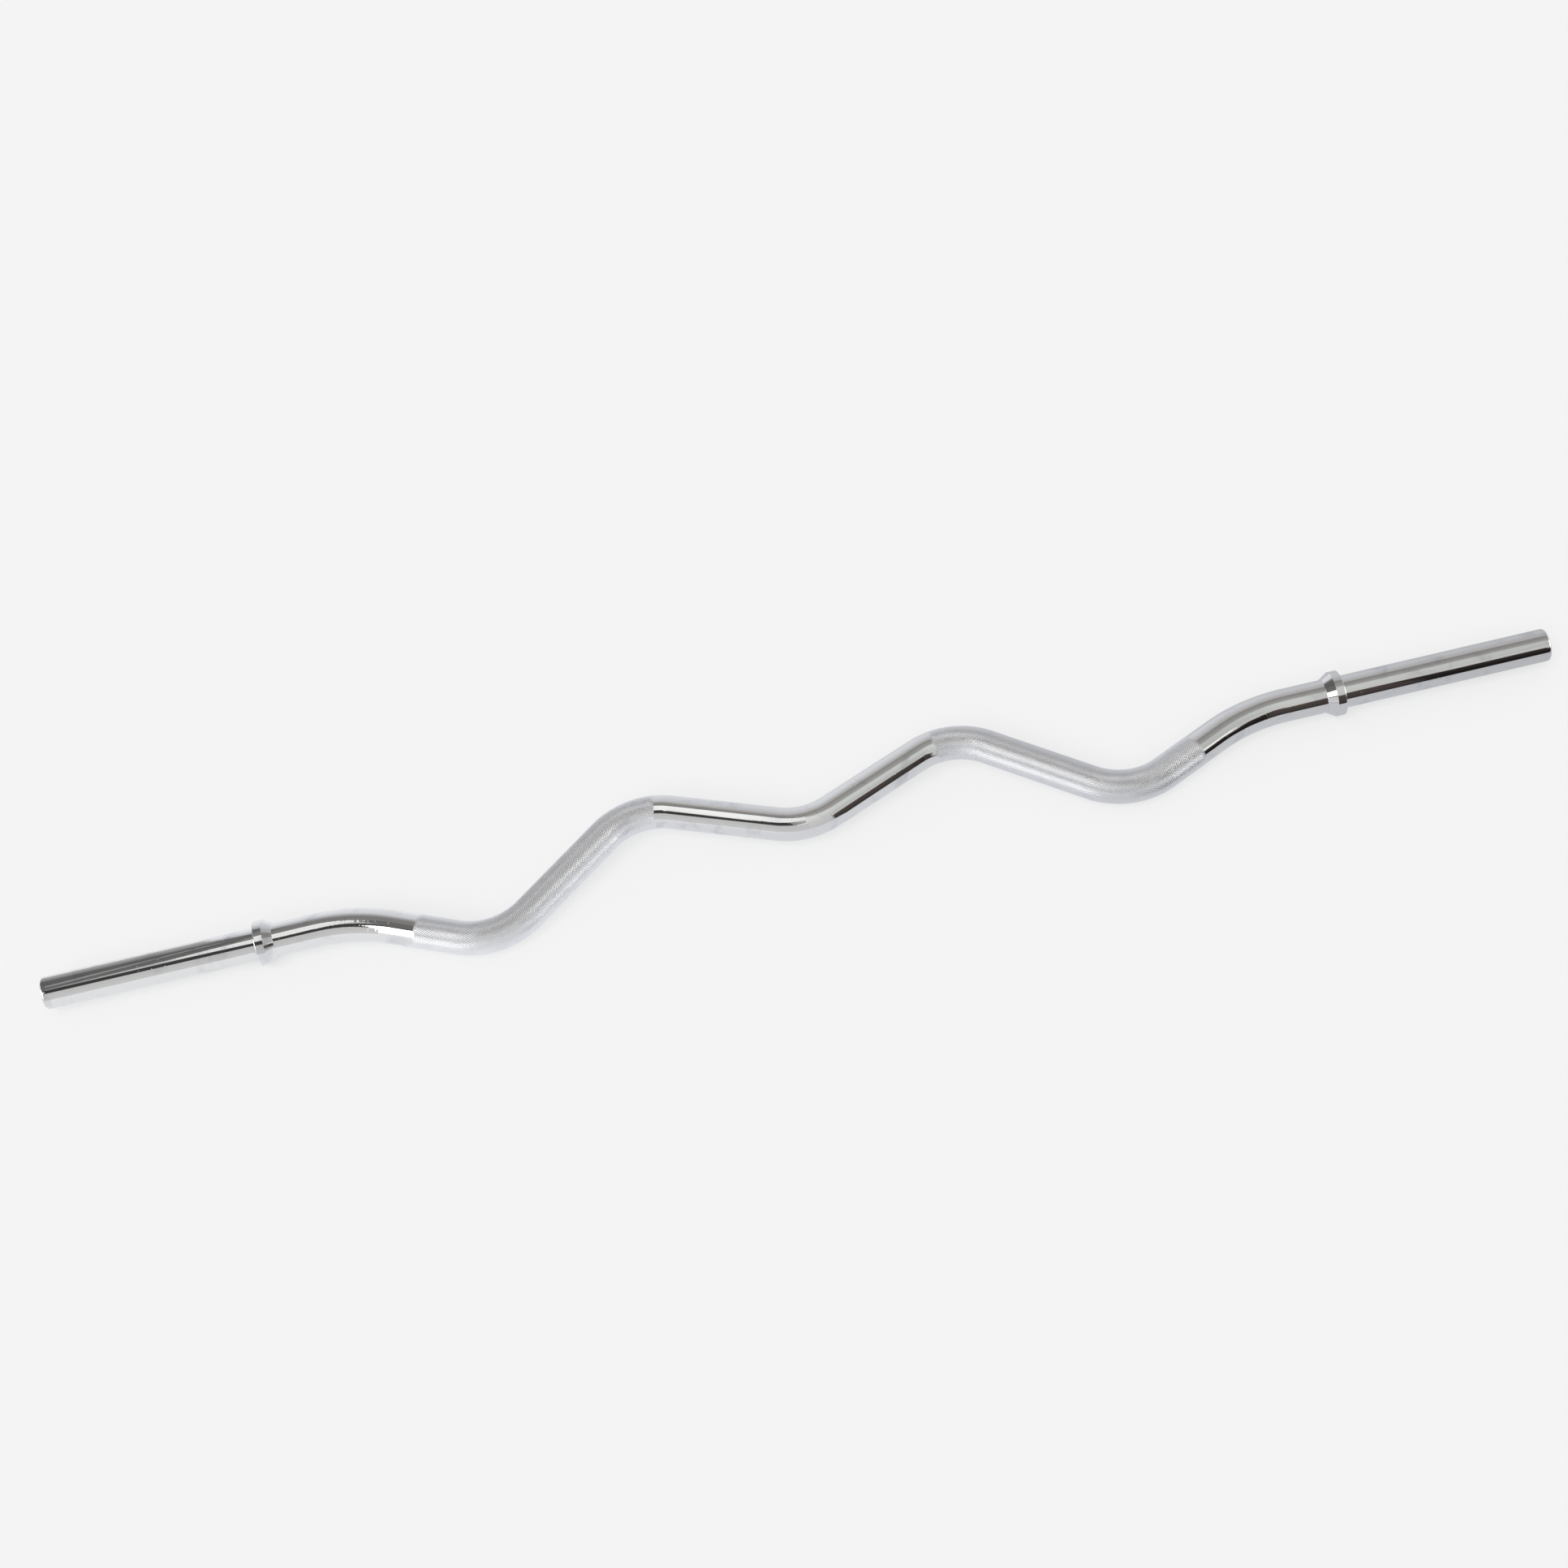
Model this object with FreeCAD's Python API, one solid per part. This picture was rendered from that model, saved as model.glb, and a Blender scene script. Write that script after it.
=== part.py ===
import FreeCAD, Part
import os
from math import asin, atan2, cos, degrees, pi, sin, tan

# An EZ curl bar: one solid steel bar bent in one plane, with two turned stop collars pressed on it.
# Lengths are millimetres. +X runs along the sleeves and +Z is up. The bar lies as it rests on a floor,
# on its collars and its two outer bends. The origin is on the floor, under the middle of the bar.

# The bar. The sleeves at its ends carry the weight plates and are turned a little thinner than the rest.
bar_diameter = 25.4
sleeve_diameter = 25.0
sleeve_length = 162.0
sleeve_end_round = 2.0
neck_length = 30.5

# The bends, from the middle of the bar outwards. Each one is given by the corner where its two straight
# runs would meet: a step along X from the corner before, and an offset to one side of the sleeve axis.
centre_to_inner_step = 124.5
inner_to_outer_step = 116.5
outer_to_neck_step = 103.0
centre_bend_offset = -9.0
inner_bend_offset = 42.0
outer_bend_offset = -46.5
grip_bend_radius = 54.0
neck_bend_radius = 140.0

# The knurled grips. Rolling the knurl raises its crests above the plain bar.
grip_crest_height = 0.15
grip_before_inner_bend = 9.0
grip_past_outer_bend = 31.0

# The stop collars: a plain rim on the plate side, and a cone down to the bar on the hand side.
# A ring slides freely over the sleeve and is pressed onto the full diameter of the bar next to it.
collar_height = 4.5
collar_rim_width = 6.6
collar_cone_length = 6.6
collar_nose_wall = 0.4
collar_rim_round = 0.6

# Steel, in kilograms per cubic millimetre, for the printed weight.
steel_density = 7.85e-6

bar_radius = bar_diameter / 2
sleeve_radius = sleeve_diameter / 2
grip_radius = bar_radius + grip_crest_height
collar_radius = bar_radius + collar_height
collar_width = collar_rim_width + collar_cone_length

origin = FreeCAD.Vector(0, 0, 0)
along_bar = FreeCAD.Vector(1, 0, 0)
bend_axis = FreeCAD.Vector(0, 0, 1)


def direction(angle):
    return FreeCAD.Vector(cos(angle), sin(angle), 0)


class Straight:
    """A straight run of the bar's centre line."""

    def __init__(self, start, heading, length):
        self.start = start
        self.heading = heading
        self.length = length

    def solid(self, radius, first, last):
        way = direction(self.heading)
        return Part.makeCylinder(radius, last - first, self.start + way * first, way)


class Bend:
    """An arc of the bar's centre line. It turns left where turn is positive."""

    def __init__(self, start, heading, radius, turn):
        self.heading = heading
        self.radius = radius
        self.side = 1 if turn > 0 else -1
        self.length = radius * abs(turn)
        self.centre = start + direction(heading + self.side * pi / 2) * radius

    def solid(self, radius, first, last):
        angle = self.heading + self.side * first / self.radius
        spoke = direction(angle - self.side * pi / 2) * self.radius
        rim = Part.makeCircle(radius, self.centre + spoke, direction(angle))
        swept_angle = degrees((last - first) / self.radius)
        return Part.Face(Part.Wire(rim)).revolve(self.centre, bend_axis * self.side, swept_angle)

    def peak_distance(self):
        """How far along the arc it runs parallel to the sleeves."""
        return self.radius * abs(self.heading)

    def peak_offset(self):
        """How far from the sleeve axis it lies there."""
        return self.centre.y - self.side * self.radius


def bar_corners():
    """The bar's left end, the corners of its seven bends, and its right end."""
    inner_x = centre_to_inner_step
    outer_x = inner_x + inner_to_outer_step
    neck_x = outer_x + outer_to_neck_step
    neck_turn = atan2(abs(outer_bend_offset), outer_to_neck_step)
    neck_tangent = neck_bend_radius * tan(neck_turn / 2)
    end_x = neck_x + neck_tangent + neck_length + collar_width + sleeve_length
    right_half = [
        FreeCAD.Vector(inner_x, inner_bend_offset, 0),
        FreeCAD.Vector(outer_x, outer_bend_offset, 0),
        FreeCAD.Vector(neck_x, 0, 0),
        FreeCAD.Vector(end_x, 0, 0),
    ]
    left_half = [FreeCAD.Vector(-corner.x, corner.y, 0) for corner in reversed(right_half)]
    return left_half + [FreeCAD.Vector(0, centre_bend_offset, 0)] + right_half


def centre_line():
    """The bar's straight runs and bends in turn, each with its distance from the bar's middle."""
    corners = bar_corners()
    radii = [neck_bend_radius] + [grip_bend_radius] * (len(corners) - 4) + [neck_bend_radius]
    steps = [after - before for before, after in zip(corners, corners[1:])]
    headings = [atan2(step.y, step.x) for step in steps]
    turns = [after - before for before, after in zip(headings, headings[1:])]
    tangents = [radius * tan(abs(turn) / 2) for radius, turn in zip(radii, turns)]
    tangents = [0] + tangents + [0]
    runs = []
    for k, step in enumerate(steps):
        way = direction(headings[k])
        length = step.Length - tangents[k] - tangents[k + 1]
        runs.append(Straight(corners[k] + way * tangents[k], headings[k], length))
        if k < len(turns):
            runs.append(Bend(corners[k + 1] - way * tangents[k + 1], headings[k], radii[k], turns[k]))
    begin = -sum(run.length for run in runs) / 2
    for run in runs:
        run.begin = begin
        begin += run.length
    return runs


runs = centre_line()
right_inner_bend = runs[-6]
right_outer_bend = runs[-4]
right_outer_run = runs[-3]
right_end_run = runs[-1]

# Distances along the centre line from the middle of the bar
bar_end = right_end_run.begin + right_end_run.length
collar_face = bar_end - sleeve_length
grip_outer_end = right_outer_run.begin + grip_past_outer_bend
grip_inner_end = right_inner_bend.begin + right_inner_bend.peak_distance() - grip_before_inner_bend

# How the bar lies: it rolls on its collars until the outer bends touch the floor.
outer_reach = -right_outer_bend.peak_offset()
inner_reach = right_inner_bend.peak_offset()
rest_tilt = asin((collar_radius - grip_radius) / outer_reach)
sleeve_axis_y = (outer_reach - inner_reach) * cos(rest_tilt) / 2
sleeve_axis_z = collar_radius
end_x = bar_corners()[-1].x


def stretch(radius, first, last):
    """The solids of one stretch of the bar, a piece for each run or bend that it covers."""
    pieces = []
    for run in runs:
        start = max(first, run.begin)
        stop = min(last, run.begin + run.length)
        if stop > start:
            pieces.append(run.solid(radius, start - run.begin, stop - run.begin))
    return pieces


def bent_bar():
    """Sleeve, neck and grip on each side of the plain centre. The neck runs on under the collar."""
    pieces = stretch(bar_radius, -grip_inner_end, grip_inner_end)
    zones = [
        (grip_radius, grip_inner_end, grip_outer_end),
        (bar_radius, grip_outer_end, collar_face),
        (sleeve_radius, collar_face, bar_end),
    ]
    for radius, first, last in zones:
        pieces += stretch(radius, first, last)
        pieces += stretch(radius, -last, -first)
    bar = pieces[0].multiFuse(pieces[1:]).removeSplitter().Solids[0]
    end_faces = sorted(bar.Faces, key=lambda face: face.CenterOfMass.x)
    rims = end_faces[0].Edges + end_faces[-1].Edges
    return bar.makeFillet(sleeve_end_round, rims)


def stop_collar():
    """The right collar, turned about the sleeve axis. Its nose points at the hands."""
    face_x = end_x - sleeve_length
    nose_x = face_x - collar_width
    shoulder_x = nose_x + collar_cone_length
    nose_radius = bar_radius + collar_nose_wall
    round_x = face_x - collar_rim_round
    round_radius = collar_radius - collar_rim_round
    diagonal = direction(pi / 4) * collar_rim_round
    bore_nose = FreeCAD.Vector(nose_x, bar_radius, 0)
    nose = FreeCAD.Vector(nose_x, nose_radius, 0)
    shoulder = FreeCAD.Vector(shoulder_x, collar_radius, 0)
    rim = FreeCAD.Vector(round_x, collar_radius, 0)
    rim_middle = FreeCAD.Vector(round_x, round_radius, 0) + diagonal
    face_edge = FreeCAD.Vector(face_x, round_radius, 0)
    bore_face = FreeCAD.Vector(face_x, bar_radius, 0)
    outline = Part.Wire([
        Part.makeLine(bore_nose, nose),
        Part.makeLine(nose, shoulder),
        Part.makeLine(shoulder, rim),
        Part.Arc(rim, rim_middle, face_edge).toShape(),
        Part.makeLine(face_edge, bore_face),
        Part.makeLine(bore_face, bore_nose),
    ])
    return Part.Face(outline).revolve(origin, along_bar, degrees(2 * pi))


def lay_on_floor(shape):
    """Turn a piece from the plane of the bends to how the bar rests."""
    shape.rotate(origin, along_bar, degrees(rest_tilt))
    shape.translate(FreeCAD.Vector(0, sleeve_axis_y, sleeve_axis_z))
    return shape


right_collar = stop_collar()
pieces = {
    "bar": bent_bar(),
    "left_collar": right_collar.mirror(origin, along_bar),
    "right_collar": right_collar,
}

os.makedirs("parts", exist_ok=True)
weight = 0
for name, shape in pieces.items():
    lay_on_floor(shape)
    shape.exportStep("parts/%s.step" % name)
    weight += shape.Volume * steel_density
    print(name, "solids", len(shape.Solids), "valid", shape.isValid(), "volume %.0f mm3" % shape.Volume)

print("overall length %.2f, weight %.3f kg" % (2 * end_x, weight))
print("sleeve axis at y %.3f z %.3f" % (sleeve_axis_y, sleeve_axis_z))
print("bend plane tilted by %.3f degrees" % degrees(rest_tilt))
print("collar face at x %.3f, collar diameter %.2f" % (end_x - sleeve_length, 2 * collar_radius))
print("grip from %.2f to %.2f along the bar, bar end %.2f" % (grip_inner_end, grip_outer_end, bar_end))
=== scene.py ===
# %% [markdown]
# # An EZ curl bar in chromed steel
# The real object is one round steel bar, bent into a shallow W so that the hands hold it at a
# slant, with two stop collars pressed on it for the weight plates. All of it is bright chrome, and
# only the two grips are rough, where a diamond knurl is rolled into the steel. This lesson rebuilds
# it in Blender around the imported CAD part.

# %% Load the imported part
from collections import namedtuple
from math import asin, atan2, ceil, cos, degrees, pi, radians, sin, tan

import bmesh
import bpy
import numpy as np
from mathutils import Euler, Matrix, Vector


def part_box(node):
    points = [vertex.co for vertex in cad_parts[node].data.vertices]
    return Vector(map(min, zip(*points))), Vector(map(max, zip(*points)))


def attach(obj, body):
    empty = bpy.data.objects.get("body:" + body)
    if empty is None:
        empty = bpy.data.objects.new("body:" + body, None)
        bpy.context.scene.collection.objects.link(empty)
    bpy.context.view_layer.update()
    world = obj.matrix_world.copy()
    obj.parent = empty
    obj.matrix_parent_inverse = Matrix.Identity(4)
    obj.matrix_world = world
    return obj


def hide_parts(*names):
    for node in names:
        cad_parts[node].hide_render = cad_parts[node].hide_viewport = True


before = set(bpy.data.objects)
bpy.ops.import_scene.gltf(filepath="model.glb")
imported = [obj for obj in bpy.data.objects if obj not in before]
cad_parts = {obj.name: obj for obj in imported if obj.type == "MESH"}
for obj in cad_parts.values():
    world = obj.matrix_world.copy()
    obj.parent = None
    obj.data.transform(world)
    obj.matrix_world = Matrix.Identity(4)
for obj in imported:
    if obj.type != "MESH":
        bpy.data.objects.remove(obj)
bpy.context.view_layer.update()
scene = bpy.context.scene
mm = 0.001
print("CAD nodes:", sorted(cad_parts))

# %% [markdown]
# ## Marking out
# A blacksmith would mark the bends on a straight bar first. Here the marks are the corners where
# the straight runs would meet if they had no bends between them. They lie in one flat plane, the
# sleeves on its X axis. The numbers repeat the part's own sizes, because a visual model has to lie
# exactly where the CAD part lies.

# %% Sizes of the bar
bar_radius = 12.7 * mm
sleeve_radius = 12.5 * mm
sleeve_length = 162.0 * mm
sleeve_end_round = 2.0 * mm
neck_length = 30.5 * mm
collar_width = 13.2 * mm
collar_radius = 17.2 * mm
grip_bend_radius = 54.0 * mm
neck_bend_radius = 140.0 * mm
centre_corner = Vector((0.0, -9.0)) * mm
inner_corner = Vector((124.5, 42.0)) * mm
outer_corner = Vector((241.0, -46.5)) * mm
neck_corner = Vector((344.0, 0.0)) * mm

neck_turn = atan2(-outer_corner.y, neck_corner.x - outer_corner.x)
neck_tangent = neck_bend_radius * tan(neck_turn / 2)
sleeve_start = neck_corner.x + neck_tangent + neck_length + collar_width
end_corner = Vector((sleeve_start + sleeve_length, 0.0))
print("overall length %.1f mm" % (2 * end_corner.x / mm))

# %% Corners from left to right
grip_bends = 5
right_half = [inner_corner, outer_corner, neck_corner, end_corner]
left_half = [Vector((-corner.x, corner.y)) for corner in reversed(right_half)]
corners = left_half + [centre_corner] + right_half
bend_radii = [0.0, neck_bend_radius] + [grip_bend_radius] * grip_bends + [neck_bend_radius, 0.0]
print("corners, with the two ends:", len(corners))

# %% [markdown]
# ## Stations along the bar
# Everything else is set out by the distance along the bent bar, measured from its middle: where a
# bend starts, where the knurl stops, where the collar sits. This cell adds up the straight runs and
# the arcs of the bends in turn.

# %% Runs and bends
Stretch = namedtuple("Stretch", "kind begin end heading")


def runs_and_bends():
    """The straight runs and bends in turn, set out as distances from the bar's middle."""
    steps = [after - before for before, after in zip(corners, corners[1:])]
    headings = [atan2(step.y, step.x) for step in steps]
    turns = [after - before for before, after in zip(headings, headings[1:])]
    turns = [0.0] + turns + [0.0]
    tangents = [radius * tan(abs(turn) / 2) for radius, turn in zip(bend_radii, turns)]
    found = []
    reached = 0.0
    for k, step in enumerate(steps):
        straight = step.length - tangents[k] - tangents[k + 1]
        arc = bend_radii[k + 1] * abs(turns[k + 1])
        found.append(Stretch("run", reached, reached + straight, headings[k]))
        found.append(Stretch("bend", reached + straight, reached + straight + arc, headings[k]))
        reached += straight + arc
    half = reached / 2
    return [
        Stretch(kind, begin - half, end - half, heading)
        for kind, begin, end, heading in found if end > begin]


stretches = runs_and_bends()
bends = [stretch for stretch in stretches if stretch.kind == "bend"]
bar_end = stretches[-1].end
collar_face = bar_end - sleeve_length
print("straight runs:", len(stretches) - len(bends), "bends:", len(bends))

# %% Ends of the grips
grip_past_outer_bend = 31.0 * mm
grip_before_inner_bend = 9.0 * mm
# Of the seven bends from left to right, these are the fifth and the sixth.
right_inner_bend, right_outer_bend = bends[4:6]
grip_outer_end = right_outer_bend.end + grip_past_outer_bend
inner_bend_peak = right_inner_bend.begin + grip_bend_radius * abs(right_inner_bend.heading)
grip_inner_end = inner_bend_peak - grip_before_inner_bend
print("bar %.1f mm along its bends, grips from %.1f to %.1f mm either side" % (
    2 * bar_end / mm, grip_inner_end / mm, grip_outer_end / mm))

# %% [markdown]
# ## How it lies
# On a floor the bar rolls on its two collars until the outer bends touch down, so the plane of the
# bends is tilted by a few degrees. The collars of the CAD part give the sleeves' axis, and the
# heights at the two supports give the tilt.

# %% Rest on the floor
knurl_crest = 0.15 * mm
grip_radius = bar_radius + knurl_crest
half_turn = (right_outer_bend.end - right_outer_bend.begin) / grip_bend_radius / 2
skew = right_outer_bend.heading + half_turn
outer_peak = outer_corner.y + grip_bend_radius * (cos(skew) / cos(half_turn) - 1)
rest_tilt = asin((collar_radius - grip_radius) / -outer_peak)
collar_low, collar_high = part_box("right_collar")
sleeve_axis = Vector((
    0.0, (collar_low.y + collar_high.y) / 2, (collar_low.z + collar_high.z) / 2))
print("tilt %.2f degrees, sleeve axis at y %.2f z %.2f mm" % (
    degrees(rest_tilt), sleeve_axis.y / mm, sleeve_axis.z / mm))

# %% [markdown]
# ## Small helpers
# Colours are written as sRGB hex values, the way a colour picker shows them, and Blender's shaders
# want linear light. Node trees are built by one function that adds a node, sets it up and links it.

# %% Helpers for colours and nodes


def linear(hex_colour):
    """An sRGB hex colour as linear RGBA, by the sRGB standard's own curve."""
    shares = [int(hex_colour[k:k + 2], 16) / 255 for k in (1, 3, 5)]
    return [s / 12.92 if s <= 0.04045 else ((s + 0.055) / 1.055) ** 2.4 for s in shares] + [1.0]


def add(tree, kind, inputs=None, **settings):
    """Add a node. inputs maps a socket's name or number to a value or to another node's output."""
    node = tree.nodes.new(kind)
    for name, value in settings.items():
        setattr(node, name, value)
    for socket, source in (inputs or {}).items():
        if isinstance(source, bpy.types.NodeSocket):
            tree.links.new(source, node.inputs[socket])
        else:
            node.inputs[socket].default_value = source
    return node


def new_material(name):
    """An empty material and its node tree."""
    material = bpy.data.materials.new(name)
    material.use_nodes = True
    material.node_tree.nodes.clear()
    return material, material.node_tree


print("a middle grey in linear light: %.3f" % linear("#808080")[0])

# %% [markdown]
# ## Polished chrome plate
# Decorative chrome is a hard, slightly blue mirror over nickel. What keeps it from looking like a
# computer's perfect mirror is small. Hands leave smudges that dull it in patches, and the plate has
# a few pinholes.

# %% Smudges and pinholes
chrome_bright = "#E7E9EB"
chrome_smudged = "#CDCFD4"
clean_roughness = 0.030
smudged_roughness = 0.14
smudge_size = 24.0 * mm
smudge_edge = (0.53, 0.72)
pinhole_roughness = 0.35
pinhole_spacing = 5.0 * mm
pinhole_radius = 0.5 * mm


def smudges_and_pinholes(tree, place):
    """The plate's colour and roughness, and 1 where it has a pinhole."""
    smudges = add(tree, "ShaderNodeTexNoise", {
        "Vector": place, "Scale": 1 / smudge_size,
        "Detail": 6.0, "Roughness": 0.62, "Distortion": 0.5})
    smudge_share = add(tree, "ShaderNodeMapRange", {
        "Value": smudges.outputs["Fac"], "From Min": smudge_edge[0], "From Max": smudge_edge[1]})
    tint = add(tree, "ShaderNodeMix", {
        "Factor": smudge_share.outputs["Result"],
        "A": linear(chrome_bright), "B": linear(chrome_smudged)}, data_type="RGBA")
    dullness = add(tree, "ShaderNodeMapRange", {
        "Value": smudge_share.outputs["Result"],
        "To Min": clean_roughness, "To Max": smudged_roughness})
    pinholes = add(tree, "ShaderNodeTexVoronoi", {"Vector": place, "Scale": 1 / pinhole_spacing})
    pinhole = add(tree, "ShaderNodeMapRange", {
        "Value": pinholes.outputs["Distance"], "From Max": pinhole_radius / pinhole_spacing,
        "To Min": 1.0, "To Max": 0.0}, interpolation_type="SMOOTHSTEP")
    roughness = add(tree, "ShaderNodeMath", {
        0: pinhole.outputs["Result"], 1: pinhole_roughness,
        2: dullness.outputs["Result"]}, operation="MULTIPLY_ADD")
    return tint.outputs["Result"], roughness.outputs[0], pinhole.outputs["Result"]


print("smudges about %.0f mm wide, pinholes %.1f mm" % (smudge_size / mm, 2 * pinhole_radius / mm))

# %% [markdown]
# ### Relief of the plate
# The polishing belt leaves faint rings round the bar, and the plate has a fine grain. Where the bar
# was bent, the steel is rippled across and lightly wrinkled, which breaks the reflections there
# into small glints. Rings and ripples read the distance along the bar, which the mesh carries. The
# grain is drawn coarser than the real one so that it shows at all.

# %% Relief of the plate
wrinkle_size = 2.2 * mm
ripple_length = 2.6 * mm
ripple_share = 1.3
grains = ((6.0 * mm, 0.010 * mm), (0.9 * mm, 0.0022 * mm))
pinhole_depth = -0.05 * mm


def plate_relief(tree, place, pinhole, ring_attribute, ring_width, ring_depth, bend_depth):
    """The plate's normal, tilted by all that stands or sinks a little."""
    distance = add(tree, "ShaderNodeAttribute", attribute_name=ring_attribute).outputs["Fac"]
    strain = add(tree, "ShaderNodeAttribute", attribute_name="bending").outputs["Fac"]
    rings = add(tree, "ShaderNodeTexNoise", {
        "W": distance, "Scale": 1 / ring_width, "Detail": 2.0}, noise_dimensions="1D")
    wrinkles = add(tree, "ShaderNodeTexNoise", {
        "Vector": place, "Scale": 1 / wrinkle_size, "Detail": 2.0})
    ripples = add(tree, "ShaderNodeTexNoise", {
        "W": distance, "Scale": 1 / ripple_length, "Detail": 1.0}, noise_dimensions="1D")
    creases = add(tree, "ShaderNodeMath", {
        0: ripples.outputs["Fac"], 1: ripple_share,
        2: wrinkles.outputs["Fac"]}, operation="MULTIPLY_ADD")
    crease_depth = add(tree, "ShaderNodeMath", {0: strain, 1: bend_depth}, operation="MULTIPLY")
    bent_steel = add(tree, "ShaderNodeMath", {
        0: creases.outputs[0], 1: crease_depth.outputs[0]}, operation="MULTIPLY")
    height = add(tree, "ShaderNodeMath", {
        0: rings.outputs["Fac"], 1: ring_depth,
        2: bent_steel.outputs[0]}, operation="MULTIPLY_ADD")
    for grain_size, grain_depth in grains:
        grain = add(tree, "ShaderNodeTexNoise", {
            "Vector": place, "Scale": 1 / grain_size, "Detail": 1.0})
        height = add(tree, "ShaderNodeMath", {
            0: grain.outputs["Fac"], 1: grain_depth,
            2: height.outputs[0]}, operation="MULTIPLY_ADD")
    height = add(tree, "ShaderNodeMath", {
        0: pinhole, 1: pinhole_depth, 2: height.outputs[0]}, operation="MULTIPLY_ADD")
    bump = add(tree, "ShaderNodeBump", {
        "Height": height.outputs[0], "Strength": 1.0, "Distance": 1.0})
    return bump.outputs["Normal"]


print("ripples of the bends about %.1f mm apart" % (ripple_length / mm))

# %% Chrome for the bar and for the collars


def polished_chrome(name, **rings_and_bends):
    """Bright plate, with the polishing rings and the bending that are given."""
    material, tree = new_material(name)
    place = add(tree, "ShaderNodeTexCoord").outputs["Object"]
    tint, roughness, pinhole = smudges_and_pinholes(tree, place)
    normal = plate_relief(tree, place, pinhole, **rings_and_bends)
    plate = add(tree, "ShaderNodeBsdfPrincipled", {
        "Base Color": tint, "Metallic": 1.0, "Roughness": roughness, "Normal": normal})
    add(tree, "ShaderNodeOutputMaterial", {"Surface": plate.outputs["BSDF"]})
    return material


bar_chrome = polished_chrome(
    "chrome_plate_polished", ring_attribute="along",
    ring_width=1.1 * mm, ring_depth=0.002 * mm, bend_depth=0.022 * mm)
collar_chrome = polished_chrome(
    "chrome_plate_turned", ring_attribute="feed",
    ring_width=0.5 * mm, ring_depth=0.0015 * mm, bend_depth=0.0)
print("polished plates:", bar_chrome.name, collar_chrome.name)

# %% [markdown]
# ## Knurled chrome plate
# The grips are the same plate over a rolled knurl. Chrome builds up unevenly on its points, so each
# facet is slightly matt and scatters the light, which makes the grip look like pale silver. The
# grooves are tinted a little darker, in patches.

# %% Knurled chrome plate
knurl_bright = "#F1F3F7"
# the tone of the grooves, a little darker than the crests
knurl_groove_tone = "#DADCE1"
groove_patch_size = 9.0 * mm
facet_size = 0.8 * mm
facet_spread = (0.3, 0.7)
facet_roughness = (0.26, 0.40)


def knurled_chrome(name):
    """Slightly matt plate, tinted a little darker in patches in the knurl's grooves."""
    material, tree = new_material(name)
    place = add(tree, "ShaderNodeTexCoord").outputs["Object"]
    groove = add(tree, "ShaderNodeAttribute", attribute_name="groove").outputs["Fac"]
    groove_patches = add(tree, "ShaderNodeTexNoise", {
        "Vector": place, "Scale": 1 / groove_patch_size, "Detail": 4.0})
    # the grooves are tinted darker, by an amount that varies in patches
    groove_darkening = add(tree, "ShaderNodeMath", {
        0: groove, 1: groove_patches.outputs["Fac"]}, operation="MULTIPLY")
    tint = add(tree, "ShaderNodeMix", {
        "Factor": groove_darkening.outputs[0],
        "A": linear(knurl_bright), "B": linear(knurl_groove_tone)}, data_type="RGBA")
    facets = add(tree, "ShaderNodeTexNoise", {
        "Vector": place, "Scale": 1 / facet_size, "Detail": 2.0})
    roughness = add(tree, "ShaderNodeMapRange", {
        "Value": facets.outputs["Fac"], "From Min": facet_spread[0], "From Max": facet_spread[1],
        "To Min": facet_roughness[0], "To Max": facet_roughness[1]})
    plate = add(tree, "ShaderNodeBsdfPrincipled", {
        "Base Color": tint.outputs["Result"], "Metallic": 1.0,
        "Roughness": roughness.outputs["Result"]})
    add(tree, "ShaderNodeOutputMaterial", {"Surface": plate.outputs["BSDF"]})
    return material


grip_chrome = knurled_chrome("chrome_plate_knurled")
print("materials:", [material.name for material in (bar_chrome, collar_chrome, grip_chrome)])

# %% [markdown]
# ## Marks on a straight stick
# The bar could be a bevelled curve, but the knurl has to be part of the same steel. So a row of
# points is set out like marks on a straight stick, one for each ring of the mesh, and each mark
# carries the bar's radius, how deep the knurl is there and how much the steel was bent. In the
# grips the rings stand further apart than the flutes round the bar, so that the knurl's lines lie
# at 30 degrees to the bar, the usual slant of a knurling wheel.

# %% Spacing of the marks
flutes = 108
knurl_slant = radians(30)
knurl_step = 2 * pi * bar_radius / flutes / tan(knurl_slant)
knurl_run_out = 2.4 * mm
smooth_step = 1.5 * mm
sleeve_step = 3.0 * mm
round_steps = 8
shoulder_inset = 0.12 * mm
shoulder_ramp = shoulder_inset / 4


def spaced(first, last, step):
    """Even distances from first up to last, last left out."""
    count = ceil((last - first) / step)
    return list(np.linspace(first, last, count, endpoint=False))


def eased(share):
    """0 to 1 with soft ends."""
    share = min(1.0, max(0.0, share))
    return share * share * (3 - 2 * share)


print("knurl pitch %.2f mm across its lines" % (2 * knurl_step * sin(knurl_slant) / mm))

# %% Marks of one half


def half_marks():
    """Marks from the middle of the bar to its right end: distance, radius and knurl depth."""
    marks = [(s, bar_radius, 0.0) for s in spaced(0.0, grip_inner_end, smooth_step)]
    for s in spaced(grip_inner_end, grip_outer_end, knurl_step):
        from_edge = min(s - grip_inner_end, grip_outer_end - s)
        marks.append((s, bar_radius, eased(from_edge / knurl_run_out)))
    shoulder = collar_face - shoulder_inset
    marks += [(s, bar_radius, 0.0) for s in spaced(grip_outer_end, shoulder, smooth_step)]
    marks.append((shoulder, bar_radius, 0.0))
    marks.append((shoulder + shoulder_ramp, sleeve_radius, 0.0))
    round_start = bar_end - sleeve_end_round
    marks += [(s, sleeve_radius, 0.0) for s in spaced(collar_face, round_start, sleeve_step)]
    for angle in np.linspace(0.0, pi / 2, round_steps + 1):
        inset = sleeve_end_round * (1 - cos(angle))
        marks.append((round_start + sleeve_end_round * sin(angle), sleeve_radius - inset, 0.0))
    return marks


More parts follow.
